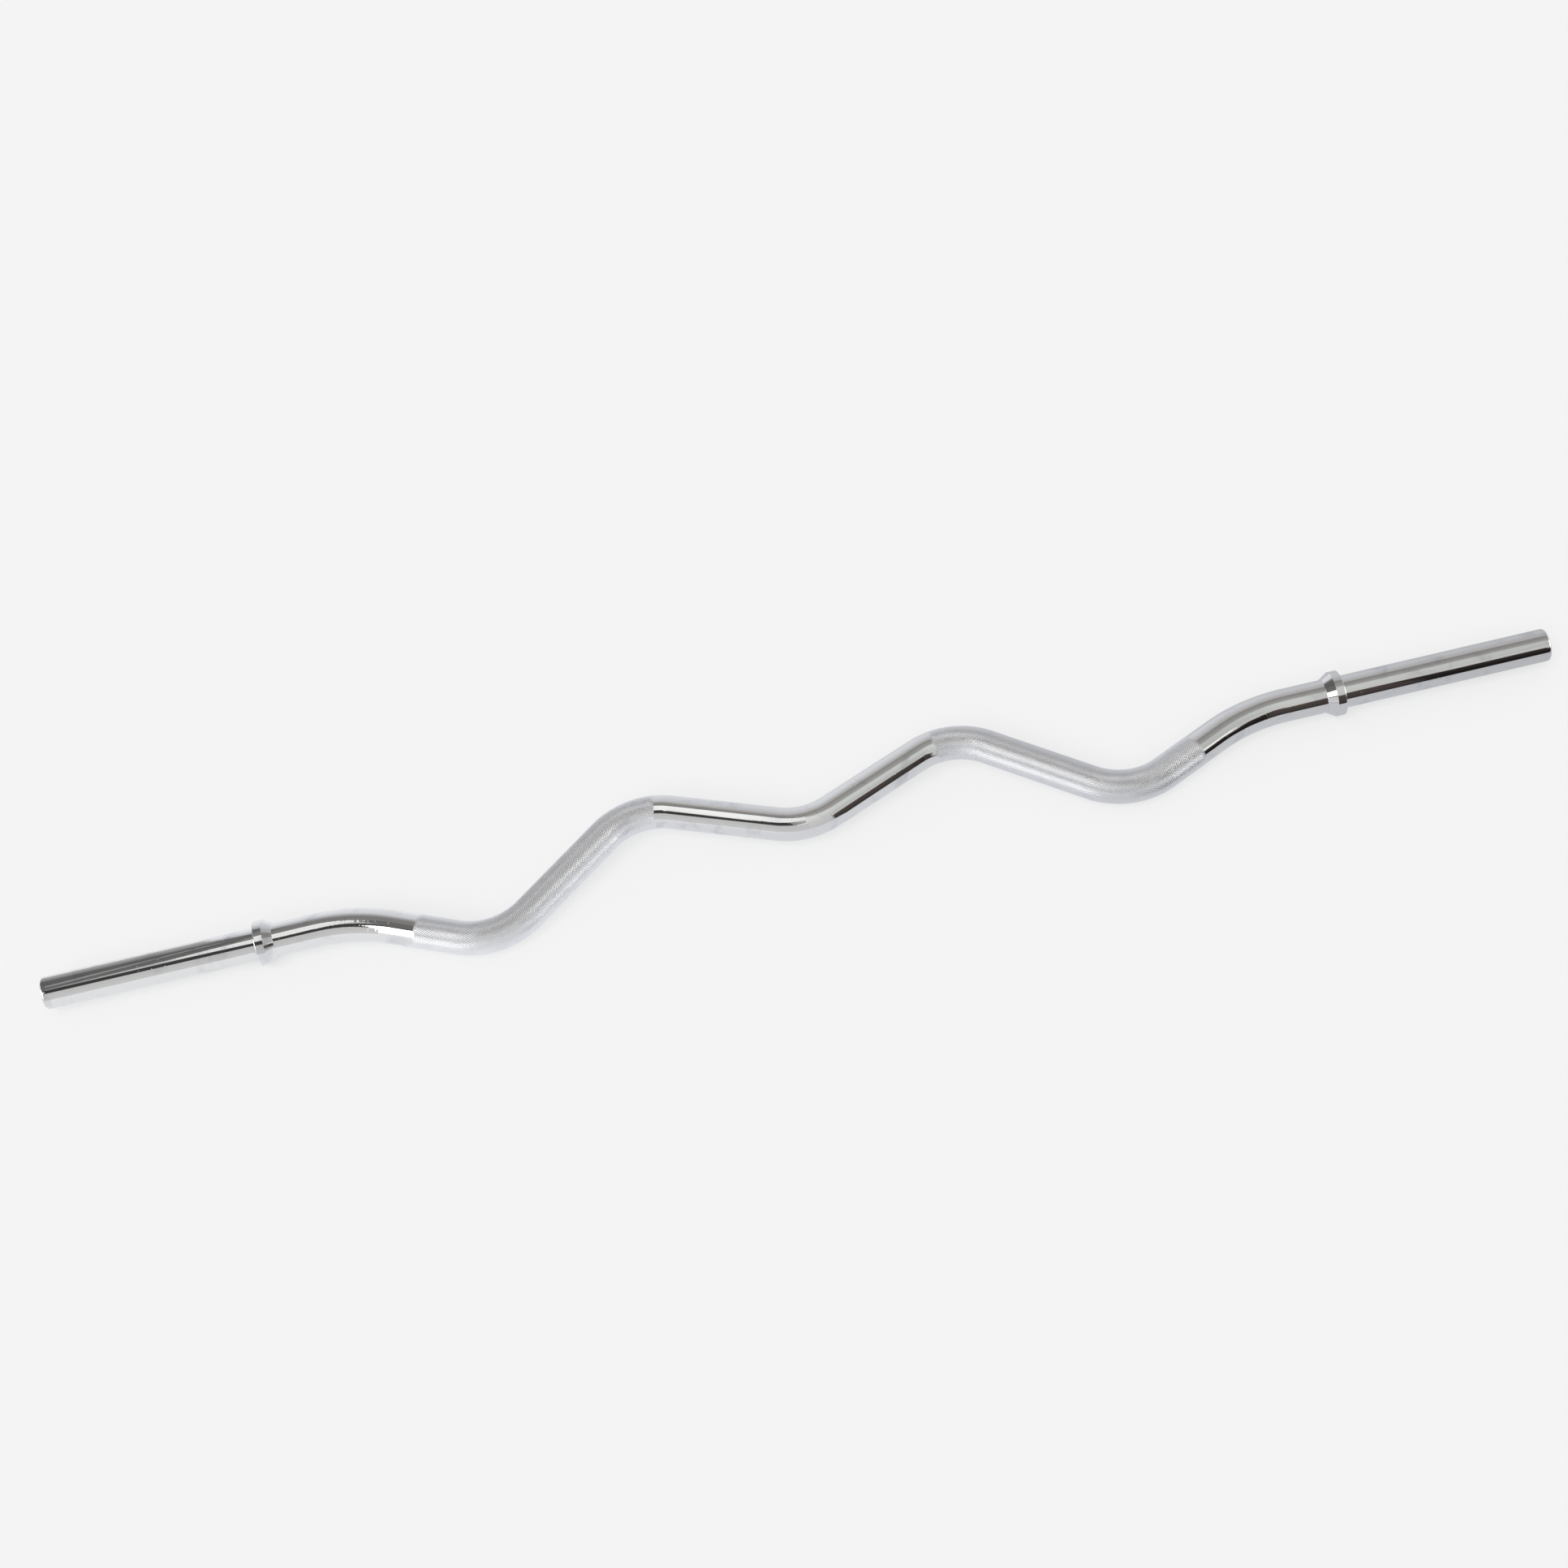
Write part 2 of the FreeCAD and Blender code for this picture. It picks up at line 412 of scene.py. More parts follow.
right_marks = half_marks()
left_marks = [(-s, radius, depth) for s, radius, depth in reversed(right_marks[1:])]
marks = left_marks + right_marks
print("marks from end to end:", len(marks))

# %% Cut the marks into the stick
bend_ease = 30.0 * mm


def bending_at(distance):
    """1 inside a bend and 0 on a straight run, easing over the length that the dies held."""
    inside = max(min(distance - bend.begin, bend.end - distance) for bend in bends)
    return min(1.0, max(0.0, 0.5 + inside / bend_ease))


stick = bpy.data.meshes.new("marking_stick")
links = [(k, k + 1) for k in range(len(marks) - 1)]
stick.from_pydata([(s, 0, 0) for s, radius, depth in marks], links, [])
carried = {
    "ring_radius": [radius for s, radius, depth in marks],
    "knurl": [depth for s, radius, depth in marks],
    "bending": [bending_at(s) for s, radius, depth in marks],
}
for name, values in carried.items():
    stick.attributes.new(name, "FLOAT", "POINT").data.foreach_set("value", values)
print("each mark carries:", list(carried))

# %% [markdown]
# ## The centre line
# The corners become a plain polyline. Each point's radius holds the radius of the bend there, so
# one Fillet Curve node rounds all seven corners with true arcs.

# %% Centre line
route = bpy.data.curves.new("centre_line", "CURVE")
route.dimensions = "3D"
line = route.splines.new("POLY")
line.points.add(len(corners) - 1)
for point, corner, radius in zip(line.points, corners, bend_radii):
    point.co = (corner.x, corner.y, 0.0, 1.0)
    point.radius = radius
centre_line = bpy.data.objects.new("centre_line", route)
scene.collection.objects.link(centre_line)
print("corners on the centre line:", len(line.points))

# %% [markdown]
# ## A node tree that bends and knurls
# The bar follows a path and its knurl repeats thousands of times, so it is a job for Geometry
# Nodes. The tree gets the stick as its geometry and everything else as named inputs.

# %% Inputs of the bar's tree
tree = bpy.data.node_groups.new("bent_and_knurled_bar", "GeometryNodeTree")
tree.interface.new_socket("Geometry", in_out="OUTPUT", socket_type="NodeSocketGeometry")
tree.interface.new_socket("Stick", in_out="INPUT", socket_type="NodeSocketGeometry")
socket_of = {}
for label, kind in [
    ("Centre line", "Object"), ("Flutes", "Int"),
    ("Crest height", "Float"), ("Groove depth", "Float"),
    ("Unevenness", "Float"), ("Seed", "Int"),
    ("Rest tilt", "Rotation"), ("Sleeve axis", "Vector"),
    ("Polished plate", "Material"), ("Knurled plate", "Material"),
]:
    socket = tree.interface.new_socket(label, in_out="INPUT", socket_type="NodeSocket" + kind)
    socket_of[label] = socket.identifier
given = add(tree, "NodeGroupInput").outputs
print("inputs of the tree:", list(socket_of))

# %% [markdown]
# ### Bend the stick
# The tree rounds the centre line, finds each mark's place on it by its distance from the middle,
# and sweeps a circle along the marks. Each ring and each flute keeps its number for the knurl.

# %% Find each mark's place
arc_points = 64
route_info = add(tree, "GeometryNodeObjectInfo", {"Object": given["Centre line"]})
corner_radius = add(tree, "GeometryNodeInputRadius")
rounded = add(tree, "GeometryNodeFilletCurve", {
    "Curve": route_info.outputs["Geometry"],
    "Count": arc_points, "Radius": corner_radius.outputs[0]}, mode="POLY")
whole = add(tree, "GeometryNodeCurveLength", {"Curve": rounded.outputs[0]})

strip = add(tree, "GeometryNodeMeshToCurve", {"Mesh": given["Stick"]})
spot = add(tree, "GeometryNodeInputPosition")
from_middle = add(tree, "ShaderNodeSeparateXYZ", {0: spot.outputs[0]})
from_start = add(tree, "ShaderNodeMath", {
    0: whole.outputs[0], 1: 0.5, 2: from_middle.outputs["X"]}, operation="MULTIPLY_ADD")
on_route = add(tree, "GeometryNodeSampleCurve", {
    "Curves": rounded.outputs[0], "Length": from_start.outputs[0]}, mode="LENGTH")
print("nodes that find the places:", len(tree.nodes))

# %% Bend the stick
index = add(tree, "GeometryNodeInputIndex")
kept = add(tree, "GeometryNodeCaptureAttribute", {"Geometry": strip.outputs[0]})
for label, kind, source in [
    ("centre", "VECTOR", on_route.outputs["Position"]),
    ("along", "FLOAT", from_middle.outputs["X"]),
    ("ring", "INT", index.outputs[0]),
]:
    kept.capture_items.new(kind, label)
    tree.links.new(source, kept.inputs[label])
bent = add(tree, "GeometryNodeSetPosition", {
    "Geometry": kept.outputs["Geometry"], "Position": kept.outputs["centre"]})
upright_rings = add(tree, "GeometryNodeSetCurveNormal", {"Curve": bent.outputs[0]}, mode="Z_UP")
print("kept on each mark:", [item.name for item in kept.capture_items])

# %% Sweep a circle along it
circle = add(tree, "GeometryNodeCurvePrimitiveCircle", {
    "Resolution": given["Flutes"], "Radius": 1.0}, mode="RADIUS")
numbered = add(tree, "GeometryNodeCaptureAttribute", {"Geometry": circle.outputs["Curve"]})
numbered.capture_items.new("INT", "flute")
tree.links.new(index.outputs[0], numbered.inputs["flute"])
ring_radius = add(tree, "GeometryNodeInputNamedAttribute", {
    "Name": "ring_radius"}, data_type="FLOAT")
swept = add(tree, "GeometryNodeCurveToMesh", {
    "Curve": upright_rings.outputs[0], "Profile Curve": numbered.outputs["Geometry"],
    "Scale": ring_radius.outputs[0], "Fill Caps": True})
print("nodes so far:", len(tree.nodes))

# %% [markdown]
# ### Roll the knurl
# In the grips, rings and flutes make a chequerboard: every second crossing is lifted to a crest and
# the others are sunk to a groove. Splitting each square along its groove leaves true four-sided
# points, as a pair of knurling wheels does. No two crests come out quite alike, and that is what
# makes a knurl sparkle.

# %% Lift the crests and sink the grooves
knurl = add(tree, "GeometryNodeInputNamedAttribute", {"Name": "knurl"}, data_type="FLOAT")
crossing = add(tree, "ShaderNodeMath", {
    0: kept.outputs["ring"], 1: numbered.outputs["flute"]}, operation="ADD")
crest = add(tree, "ShaderNodeMath", {0: crossing.outputs[0], 1: 2.0}, operation="MODULO")
rise = add(tree, "ShaderNodeMath", {
    0: given["Crest height"], 1: given["Groove depth"]}, operation="ADD")
shortfall = add(tree, "FunctionNodeRandomValue", {
    "Min": 0.0, "Max": given["Unevenness"], "Seed": given["Seed"]}, data_type="FLOAT")
fullness = add(tree, "ShaderNodeMath", {
    0: 1.0, 1: shortfall.outputs["Value"]}, operation="SUBTRACT")
full_rise = add(tree, "ShaderNodeMath", {
    0: rise.outputs[0], 1: fullness.outputs[0]}, operation="MULTIPLY")
lift = add(tree, "ShaderNodeMath", {
    0: crest.outputs[0], 1: full_rise.outputs[0]}, operation="MULTIPLY")
level = add(tree, "ShaderNodeMath", {
    0: lift.outputs[0], 1: given["Groove depth"]}, operation="SUBTRACT")
amount = add(tree, "ShaderNodeMath", {
    0: level.outputs[0], 1: knurl.outputs[0]}, operation="MULTIPLY")
print("nodes with the knurl's heights:", len(tree.nodes))

# %% Move the surface in and out
outwards = add(tree, "ShaderNodeVectorMath", {
    0: spot.outputs[0], 1: kept.outputs["centre"]}, operation="SUBTRACT")
radial = add(tree, "ShaderNodeVectorMath", {0: outwards.outputs[0]}, operation="NORMALIZE")
offset = add(tree, "ShaderNodeVectorMath", {
    0: radial.outputs[0], "Scale": amount.outputs[0]}, operation="SCALE")
rolled = add(tree, "GeometryNodeSetPosition", {
    "Geometry": swept.outputs[0], "Offset": offset.outputs[0]})
print("nodes with the knurl rolled:", len(tree.nodes))

# %% Split the squares and keep what the materials read
least_knurl = 0.001
is_knurled = add(tree, "FunctionNodeCompare", {
    0: knurl.outputs[0], 1: least_knurl}, operation="GREATER_THAN")
facets = add(tree, "GeometryNodeTriangulate", {
    "Mesh": rolled.outputs[0], "Selection": is_knurled.outputs[0]},
    quad_method="SHORTEST_DIAGONAL")
sunk = add(tree, "ShaderNodeMath", {0: 1.0, 1: crest.outputs[0]}, operation="SUBTRACT")
stored = add(tree, "GeometryNodeStoreNamedAttribute", {
    "Geometry": facets.outputs[0], "Name": "along", "Value": kept.outputs["along"]})
stored = add(tree, "GeometryNodeStoreNamedAttribute", {
    "Geometry": stored.outputs[0], "Name": "groove", "Value": sunk.outputs[0]})
rounded_look = add(tree, "GeometryNodeSetShadeSmooth", {
    "Geometry": stored.outputs[0], "Shade Smooth": True})
faceted_look = add(tree, "GeometryNodeSetShadeSmooth", {
    "Geometry": rounded_look.outputs[0], "Selection": is_knurled.outputs[0],
    "Shade Smooth": False})
print("nodes with the facets:", len(tree.nodes))

# %% Lay the bar down and plate it
laid = add(tree, "GeometryNodeTransform", {
    "Geometry": faceted_look.outputs[0],
    "Rotation": given["Rest tilt"], "Translation": given["Sleeve axis"]})
whole_bar = add(tree, "GeometryNodeRealizeInstances", {"Geometry": laid.outputs[0]})
plated = add(tree, "GeometryNodeSetMaterial", {
    "Geometry": whole_bar.outputs[0], "Material": given["Polished plate"]})
plated = add(tree, "GeometryNodeSetMaterial", {
    "Geometry": plated.outputs[0], "Selection": is_knurled.outputs[0],
    "Material": given["Knurled plate"]})
add(tree, "NodeGroupOutput", {"Geometry": plated.outputs[0]})
print("nodes in the bar's tree:", len(tree.nodes))

# %% [markdown]
# ## From nodes to a plain mesh
# The inputs are set before the tree first runs. Its result is then copied into a plain mesh, and
# the stick and the centre line, which were only tools, are removed.

# %% Make the bar
knurl_groove_depth = 0.07 * mm
knurl_unevenness = 0.15
knurl_seed = 7
maker = bpy.data.objects.new("bar_maker", stick)
scene.collection.objects.link(maker)
nodes = maker.modifiers.new("bend_and_knurl", "NODES")
nodes.node_group = tree
for label, value in {
    "Centre line": centre_line, "Flutes": flutes,
    "Crest height": knurl_crest, "Groove depth": knurl_groove_depth,
    "Unevenness": knurl_unevenness, "Seed": knurl_seed,
    "Rest tilt": Euler((rest_tilt, 0, 0)), "Sleeve axis": sleeve_axis,
    "Polished plate": bar_chrome, "Knurled plate": grip_chrome,
}.items():
    nodes[socket_of[label]] = value
bpy.context.view_layer.update()
ready = maker.evaluated_get(bpy.context.evaluated_depsgraph_get())
bar_mesh = bpy.data.meshes.new_from_object(ready)
bar_mesh.name = "chromed_bar"
maker.modifiers.remove(nodes)
for tool in (maker, centre_line):
    bpy.data.objects.remove(tool)
print("plates on the bar:", [material.name for material in bar_mesh.materials])

# %% Put the bar in its frame
bar = bpy.data.objects.new("chromed_bar", bar_mesh)
scene.collection.objects.link(bar)
bar_mesh.calc_loop_triangles()
print("bar:", len(bar_mesh.vertices), "points,", len(bar_mesh.loop_triangles), "triangles")

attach(bar, "root")
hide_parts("bar")

# %% [markdown]
# ## Stop collars
# Each collar is a ring turned on a lathe: a plain rim for the plates to rest against, and a cone
# towards the hands. A lathe tool never leaves a perfectly sharp edge, so every edge here is broken
# by a small round, and that round is what catches the light. The profile is swept round the
# sleeve's axis in mesh code.

# %% Turned profile
cone_length = 6.6 * mm
nose_wall = 0.4 * mm
rim_round = 0.6 * mm
edge_break = 0.22 * mm
nose_break = 0.1 * mm
support = 0.12 * mm
round_segments = 6


def rounded_profile(points):
    """Replace each (x, radius, round) corner by an arc, with a supporting point at either end."""
    outline = []
    for k, (x, radius, size) in enumerate(points):
        here = Vector((x, radius))
        if size == 0:
            outline.append(here)
            continue
        back = (Vector(points[k - 1][:2]) - here).normalized()
        ahead = (Vector(points[(k + 1) % len(points)][:2]) - here).normalized()
        half_angle = back.angle(ahead) / 2
        tangent = size / tan(half_angle)
        centre = here + (back + ahead).normalized() * size / sin(half_angle)
        first = here + back * tangent - centre
        last = here + ahead * tangent - centre
        sweep = first.angle_signed(last)
        outline.append(centre + first + back * support)
        for share in np.linspace(0.0, 1.0, round_segments + 1):
            outline.append(centre + Matrix.Rotation(-sweep * share, 2) @ first)
        outline.append(centre + last + ahead * support)
    return outline


nose_x = sleeve_start - collar_width
profile = rounded_profile([
    (nose_x, bar_radius, 0), (nose_x, bar_radius + nose_wall, nose_break),
    (nose_x + cone_length, collar_radius, edge_break),
    (sleeve_start, collar_radius, rim_round), (sleeve_start, bar_radius, 0),
])
print("points on the turned profile:", len(profile))

# %% Turn the two collars
turned_segments = 128


def turn_collar(name, side):
    """A collar about the sleeve axis, on the +X side for 1 and the -X side for -1."""
    feed = [0.0]
    for before, after in zip(profile, profile[1:]):
        feed.append(feed[-1] + (after - before).length)
    shape = bmesh.new()
    feed_layer = shape.verts.layers.float.new("feed")
    rings = []
    for k in range(turned_segments):
        angle = 2 * pi * k / turned_segments
        ring = []
        for point, distance in zip(profile, feed):
            vert = shape.verts.new((
                side * point.x,
                sleeve_axis.y + point.y * cos(angle), sleeve_axis.z + point.y * sin(angle)))
            vert[feed_layer] = distance
            ring.append(vert)
        rings.append(ring)
    count = len(profile)
    for k in range(turned_segments):
        ring, following = rings[k], rings[(k + 1) % turned_segments]
        for j in range(count):
            beyond = (j + 1) % count
            face = shape.faces.new((ring[j], ring[beyond], following[beyond], following[j]))
            face.smooth = True
    bmesh.ops.recalc_face_normals(shape, faces=shape.faces)
    mesh = bpy.data.meshes.new(name)
    shape.to_mesh(mesh)
    shape.free()
    mesh.materials.append(collar_chrome)
    collar = bpy.data.objects.new(name, mesh)
    scene.collection.objects.link(collar)
    return collar


for side, node in ((1, "right_collar"), (-1, "left_collar")):
    collar = turn_collar("chromed_" + node, side)
    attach(collar, "root")
    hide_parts(node)
    print(collar.name, len(collar.data.polygons), "faces")

# %% [markdown]
# ## Floor
# A pale paper floor runs far past the picture. To the camera and in the chrome it shows its own
# pale colour, and part of that is real light, so the bar's soft shadow stays on it.

# %% Paper
paper = "#F4F4F4"
paper_glow = 0.66


def seen_directly(tree):
    """1 for rays from the camera, and for what metal or glass shows of the surroundings."""
    path = add(tree, "ShaderNodeLightPath").outputs
    seen = add(tree, "ShaderNodeMath", {
        0: path["Is Camera Ray"], 1: path["Is Glossy Ray"]}, operation="MAXIMUM")
    seen = add(tree, "ShaderNodeMath", {
        0: seen.outputs[0], 1: path["Is Transmission Ray"]}, operation="MAXIMUM")
    return seen.outputs[0]


def floor_material():
    """Matt paper that partly glows where it is seen directly."""
    material, tree = new_material("paper_floor")
    share = add(tree, "ShaderNodeMath", {
        0: seen_directly(tree), 1: paper_glow}, operation="MULTIPLY")
    lit = add(tree, "ShaderNodeBsdfDiffuse", {"Color": linear(paper)})
    glow = add(tree, "ShaderNodeEmission", {"Color": linear(paper), "Strength": 1.0})
    mixed = add(tree, "ShaderNodeMixShader", {
        0: share.outputs[0], 1: lit.outputs[0], 2: glow.outputs[0]})
    add(tree, "ShaderNodeOutputMaterial", {"Surface": mixed.outputs[0]})
    return material


print("paper:", paper)

# %% Pale floor
floor_reach = 40.0


def flat_panel(name, panel_corners, material):
    """A stage panel from its corners."""
    mesh = bpy.data.meshes.new(name)
    mesh.from_pydata(panel_corners, [], [list(range(len(panel_corners)))])
    mesh.materials.append(material)
    panel = bpy.data.objects.new(name, mesh)
    scene.collection.objects.link(panel)
    return panel


def lying_flat(outline, height):
    """Corners of a level panel from its outline in plan."""
    return [(x, y, height) for x, y in outline]


def oblong(left, right, first, last):
    """A plain outline: left and right at its first edge, then right and left at its last."""
    return [(left, first), (right, first), (right, last), (left, last)]


floor_outline = oblong(-floor_reach, floor_reach, -floor_reach, floor_reach)
flat_panel("floor", lying_flat(floor_outline, 0), floor_material())
print("floor %.0f m wide" % (2 * floor_reach))

# %% [markdown]
# ## Light
# A broad soft key from the upper left and an even sky light the floor, together at a plain level.
# The sky is the same pale colour as the paper, so floor and background meet without a line.

# %% Key light and sky
sky_light = 0.70
key_light = 1.43
key_softness = radians(50)
key_lean = Euler((radians(28), radians(-24), 0))
key = bpy.data.objects.new("soft_key", bpy.data.lights.new("soft_key", "SUN"))
key.data.energy = key_light
key.data.angle = key_softness
key.rotation_euler = key_lean
key.visible_glossy = False
scene.collection.objects.link(key)

world = bpy.data.worlds.new("pale_studio")
scene.world = world
world.use_nodes = True
sky = world.node_tree
sky.nodes.clear()
strength = add(sky, "ShaderNodeMapRange", {
    "Value": seen_directly(sky), "To Min": sky_light, "To Max": 1.0})
backdrop = add(sky, "ShaderNodeBackground", {
    "Color": linear(paper), "Strength": strength.outputs[0]})
add(sky, "ShaderNodeOutputWorld", {"Surface": backdrop.outputs[0]})
print("key", key_light, "sky", sky_light)

# %% [markdown]
# ## Cards round the bar
# Chrome has no colour of its own. What gives it form is what stands round it, so a photographer
# sets up white cards, grey walls and dark cloth and watches their reflections run along the bar.
# The camera doesn't see these panels and they cast no shadow, so they change nothing but the
# reflections. Each one is given by its corners, in metres, and by how bright it is at each of them,
# because light falls off across a wall as it does in a real room.

# %% A card with its own glow
card_light, card_tree = new_material("card_light")
painted = add(card_tree, "ShaderNodeAttribute", attribute_name="glow")
shine = add(card_tree, "ShaderNodeEmission", {"Color": painted.outputs["Color"], "Strength": 1.0})
add(card_tree, "ShaderNodeOutputMaterial", {"Surface": shine.outputs[0]})

plain_card = "#FFFDFA"
cool_wall = "#FCFCFF"
grey_ceiling = "#FFF9F3"
pale_ceiling = "#FFFFFA"
dark_room = "#FFFBF8"
dark_corner = "#FFF3F1"
brown_cloth = "#FFEAE0"
panels = []


def card(name, panel_corners, brightness, tint=plain_card):
    """A panel that only reflections see."""
    panel = flat_panel(name, panel_corners, card_light)
    colour = linear(tint)[:3]
    shades = [part for shade in brightness for part in [shade * c for c in colour] + [1.0]]
    glow = panel.data.attributes.new("glow", "FLOAT_COLOR", "POINT")
    glow.data.foreach_set("color", shades)
    panel.visible_camera = False
    panel.visible_diffuse = False
    panel.visible_shadow = False
    panels.append(panel)


def upright(first, second, low, high):
    """Corners of an upright panel over two points of the floor."""
    return [(*first, low), (*second, low), (*second, high), (*first, high)]


print("the card's light is painted by its", painted.attribute_name, "attribute")

# %% [markdown]
# ### Walls
# Behind the bar a wall is bright at its foot in the middle and dark to the left. In front of it,
# one card faces the left half and a duller one the right half, and a dark gap stays open above.

# %% Walls
far = 1.9
near = -2.1
near_left = -1.9
near_gap = near - 0.05
top = 2.2
edge = 4.0
middle_seam = 0.1
right_seam = 1.6
dark_foot = (-0.86, far, 0)
dark_head = (-0.98, far, top)
card("far_wall", [dark_foot, (middle_seam, far, 0), (middle_seam, far, top), dark_head],
     (0.97, 0.82, 0.60, 0.34), cool_wall)
card("far_wall_right", upright((middle_seam, far), (right_seam, far), 0, top),
     (0.82, 0.56, 0.48, 0.60), cool_wall)
card("far_wall_right_end", upright((right_seam, far), (edge, far), 0, top),
     (0.56, 0.50, 0.46, 0.48), cool_wall)
card("far_wall_left", [(-edge, far, 0), dark_foot, dark_head, (-edge, far, top)],
     (0.16, 0.55, 0.14, 0.08), dark_room)
near_outline = [
    (-1.9, 0), (0.2, 0), (0.2, 1.62), (-0.9, 1.98), (-1.25, 2.12), (-1.5, 2.15), (-1.9, 1.9)]
card("near_card_left", [(x, near_left, z) for x, z in near_outline], [0.72, 0.64] + [0.62] * 5)
card("near_gap_left", upright((-edge, near_gap), (-0.3, near_gap), 1.3, top),
     [0.055] * 4, dark_corner)
card("near_card_right", upright((0.2, near), (edge, near), 0, top), (0.64, 0.58, 0.52, 0.72))
print("walls:", len(panels))

# %% [markdown]
# ### Ceiling
# The ceiling is grey over the far side and nearly black over the near left corner. A large softbox
# hangs under the middle of it and puts the white band on the left half of the bar.

# %% Ceiling
# Each row has a name, the outline as left, right, first and last, the brightness and the tint.
for name, outline, brightness, tint in [
    ("ceiling_far_right", (0.0, edge, far, 1.1), (0.58, 0.50, 0.42, 0.47), grey_ceiling),
    ("ceiling_far_middle", (-0.9, 0.0, far, 1.1), (0.36, 0.58, 0.36, 0.20), grey_ceiling),
    ("ceiling_far_left", (-edge, -0.9, far, 0.56), (0.10, 0.15, 0.14, 0.12), dark_room),
    ("ceiling_left", (-edge, -0.9, 0.56, -0.86), (0.15, 0.16, 0.17, 0.16), dark_room),
    ("ceiling_middle", (-0.9, 0.12, 1.1, -0.86), (0.22, 0.32, 0.34, 0.30), grey_ceiling),
    ("ceiling_right", (0.12, edge, 1.1, -0.1), (0.29, 0.27, 0.28, 0.42), grey_ceiling),
    ("ceiling_right_fade", (0.12, 1.5, -0.1, -0.45), (0.44, 0.32, 0.58, 0.82), pale_ceiling),
    ("ceiling_right_end_fade", (1.5, edge, -0.1, -0.45), (0.32, 0.30, 0.52, 0.58), pale_ceiling),
    ("ceiling_near_right_end", (1.5, edge, -0.45, near), (0.58, 0.54, 0.52, 0.55), pale_ceiling),
    ("ceiling_near_right", (0.12, 1.5, -0.45, near), (0.86, 0.58, 0.60, 0.74), pale_ceiling),
    ("ceiling_near_middle", (-0.38, 0.12, -0.86, near), (0.30, 0.60, 0.45, 0.20), pale_ceiling),
    ("ceiling_near_left", (-edge, -0.38, -0.86, near), (0.05, 0.055, 0.06, 0.055), dark_corner),
]:
    card(name, lying_flat(oblong(*outline), top), brightness, tint)
print("with the ceiling:", len(panels))

# %% Lamps under the ceiling
hung = top - 0.02
softbox = [
    (-1.0, -0.30), (-0.92, 0.02), (-0.79, 0.18), (-0.33, 0.36), (-0.2, 0.34),
    (0.12, -0.06), (0.12, -0.92), (-0.74, -0.86), (-0.85, -1.05), (-1.0, -0.74)]
card("overhead_softbox", lying_flat(softbox, hung),
     (0.86, 0.98, 1.06, 1.12, 1.12, 0.92, 0.90, 1.06, 1.06, 0.86))
spill = [(-1.0, -0.30), (-1.0, -0.74), (-1.32, -0.80), (-1.32, -0.68)]
card("softbox_spill", lying_flat(spill, hung), (0.70, 0.70, 0.16, 0.16))
tube = [(-1.26, 0.10), (-1.17, 0.10), (-0.95, 1.40), (-1.04, 1.40)]
card("ceiling_tube", lying_flat(tube, hung), [0.34] * 4)
print("with what hangs from it:", len(panels))

# %% [markdown]
# ### Side lights and a dark cloth
# A softbox stands at the near left, and two windows close the ends of the stage: these are what the
# facets of the knurl catch as bright streaks. A black cloth, hung up at the near right and trailing
# on the floor, gives the right half its dark band. A panel of painted shade lies on the floor and
# makes the floor's reflection darker towards the right, as if less light fell there.

# %% Side lights
shade_panel_height = 0.5 * mm
card("left_softbox", upright((-1.44, -1.34), (-2.2, -0.55), 0.30, 2.15), [2.4] * 4)
card("left_window", upright((-2.6, -1.15), (-2.6, 0.25), 0.12, 1.5), [3.2] * 4)
card("right_window", upright((2.4, -1.0), (2.4, 0.15), 0.02, 1.25), [3.2] * 4)
card("right_lamp", upright((1.36, -1.11), (1.50, -0.95), 0.66, 0.92), [1.15] * 4)
# painted shade: a panel that only reflections see, darker towards the right, dims the floor's
# reflection there as if less light fell on it
card("floor_card", lying_flat(oblong(-0.25, 1.0, -2.0, far), shade_panel_height),
     (0.88, 0.41, 0.41, 0.88), cool_wall)
print("with the side lights:", len(panels))

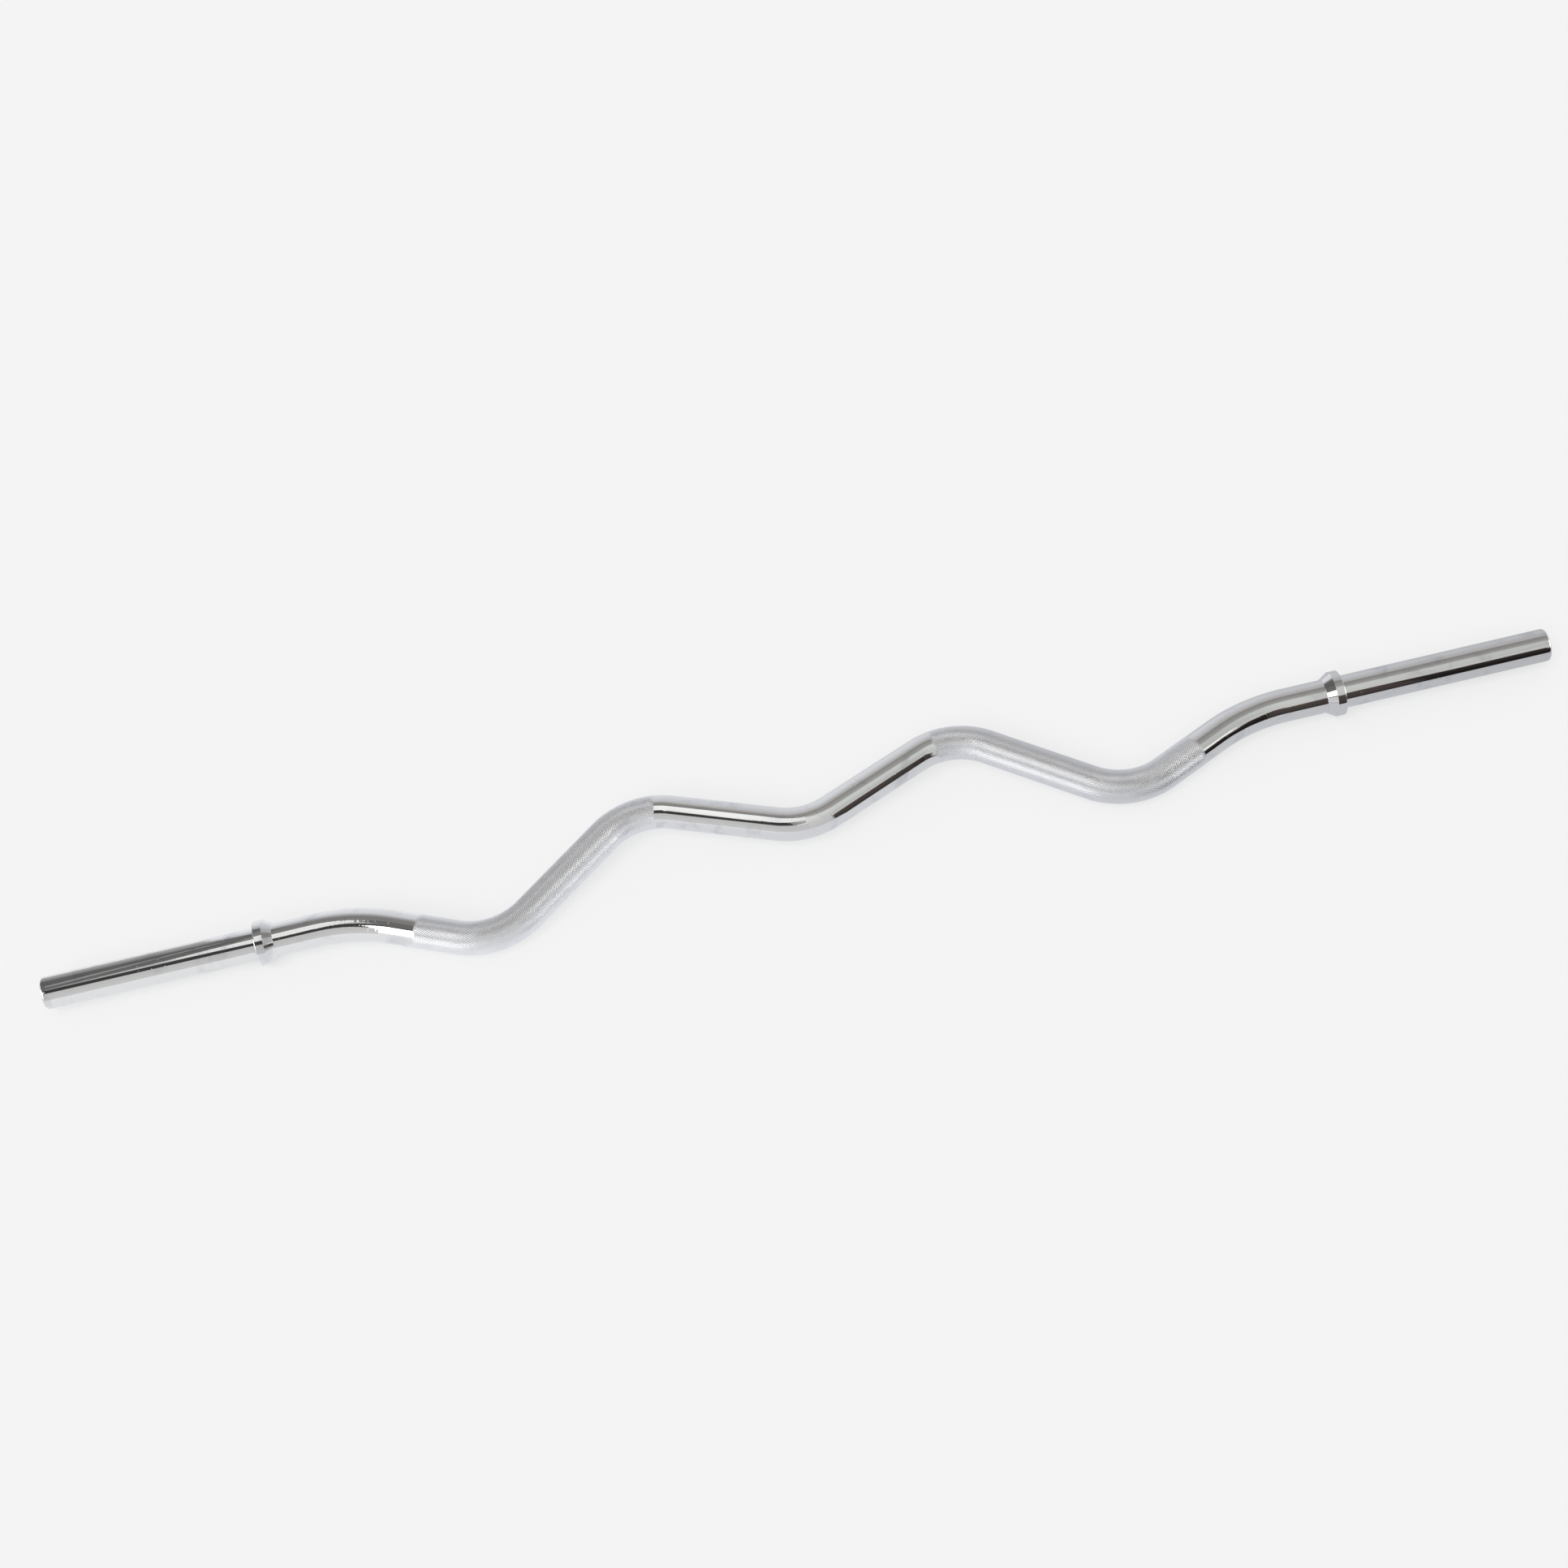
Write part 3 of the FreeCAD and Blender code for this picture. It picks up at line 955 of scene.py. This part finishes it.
# %% Hang the cloth
cloth_y = -0.77
cloth_left = 0.50
cloth_fold = 0.72
cloth_right = 1.9
fuzz = 0.08
fuzz_glow = 0.5
faded_top = [(cloth_fold, 0.56), (0.70, 0.57), (0.63, 0.50), (0.58, 0.44), (cloth_left, 0.36)]
black_top = [
    (cloth_right, 0.44), (1.2, 0.44), (1.1, 0.33), (1.0, 0.30),
    (0.89, 0.46), (0.80, 0.46), (cloth_fold, 0.56)]


def hang_cloth(name, left, right, top_edge, low_glow, high_glow):
    """A cloth from the floor up to its top edge, which ends in a soft fuzz."""
    lower = [(left, cloth_y, 0), (right, cloth_y, 0)]
    upper = [(x, cloth_y, z) for x, z in top_edge]
    card(name, lower + upper, [low_glow] * 2 + [high_glow] * len(upper), brown_cloth)
    for k, (a, b) in enumerate(zip(upper, upper[1:])):
        above = [(x, y, z + fuzz) for x, y, z in (b, a)]
        shades = [high_glow] * 2 + [fuzz_glow] * 2
        card("%s_fuzz_%d" % (name, k), [a, b] + above, shades, brown_cloth)


hang_cloth("faded_cloth", cloth_left, cloth_fold, faded_top, 0.05, 0.08)
hang_cloth("black_cloth", cloth_fold, cloth_right, black_top, 0.006, 0.035)
print("with the hung cloth:", len(panels))

# %% Let it trail on the floor
lying_height = 1.0 * mm
lying_edge = [
    (cloth_left, cloth_y), (cloth_right, cloth_y), (cloth_right, -0.15), (0.62, -0.15),
    (0.43, -0.165), (0.27, -0.20), (0.165, -0.13), (0.095, -0.09)]
card("lying_cloth", lying_flat(lying_edge, lying_height),
     [0.03, 0.02, 0.02, 0.02, 0.02, 0.04, 0.06, 0.06], brown_cloth)
print("cards and cloths in all:", len(panels))

# %% [markdown]
# ## Camera
# The camera stands where the photographer stood: in front of the bar, a little to the left, looking
# down steeply with a normal lens and slightly rolled.

# %% Camera
lens = bpy.data.cameras.new("camera")
lens.lens = 53.433
lens.sensor_width = 36.0
camera = bpy.data.objects.new("camera", lens)
camera.location = (-0.06573, -1.04618, 1.41807)
camera.rotation_euler = Euler((radians(37.26302), radians(6.48674), radians(-11.50812)))
scene.collection.objects.link(camera)
scene.camera = camera
scene.view_settings.view_transform = "Standard"
print("camera %.2f m above the floor" % camera.location.z)
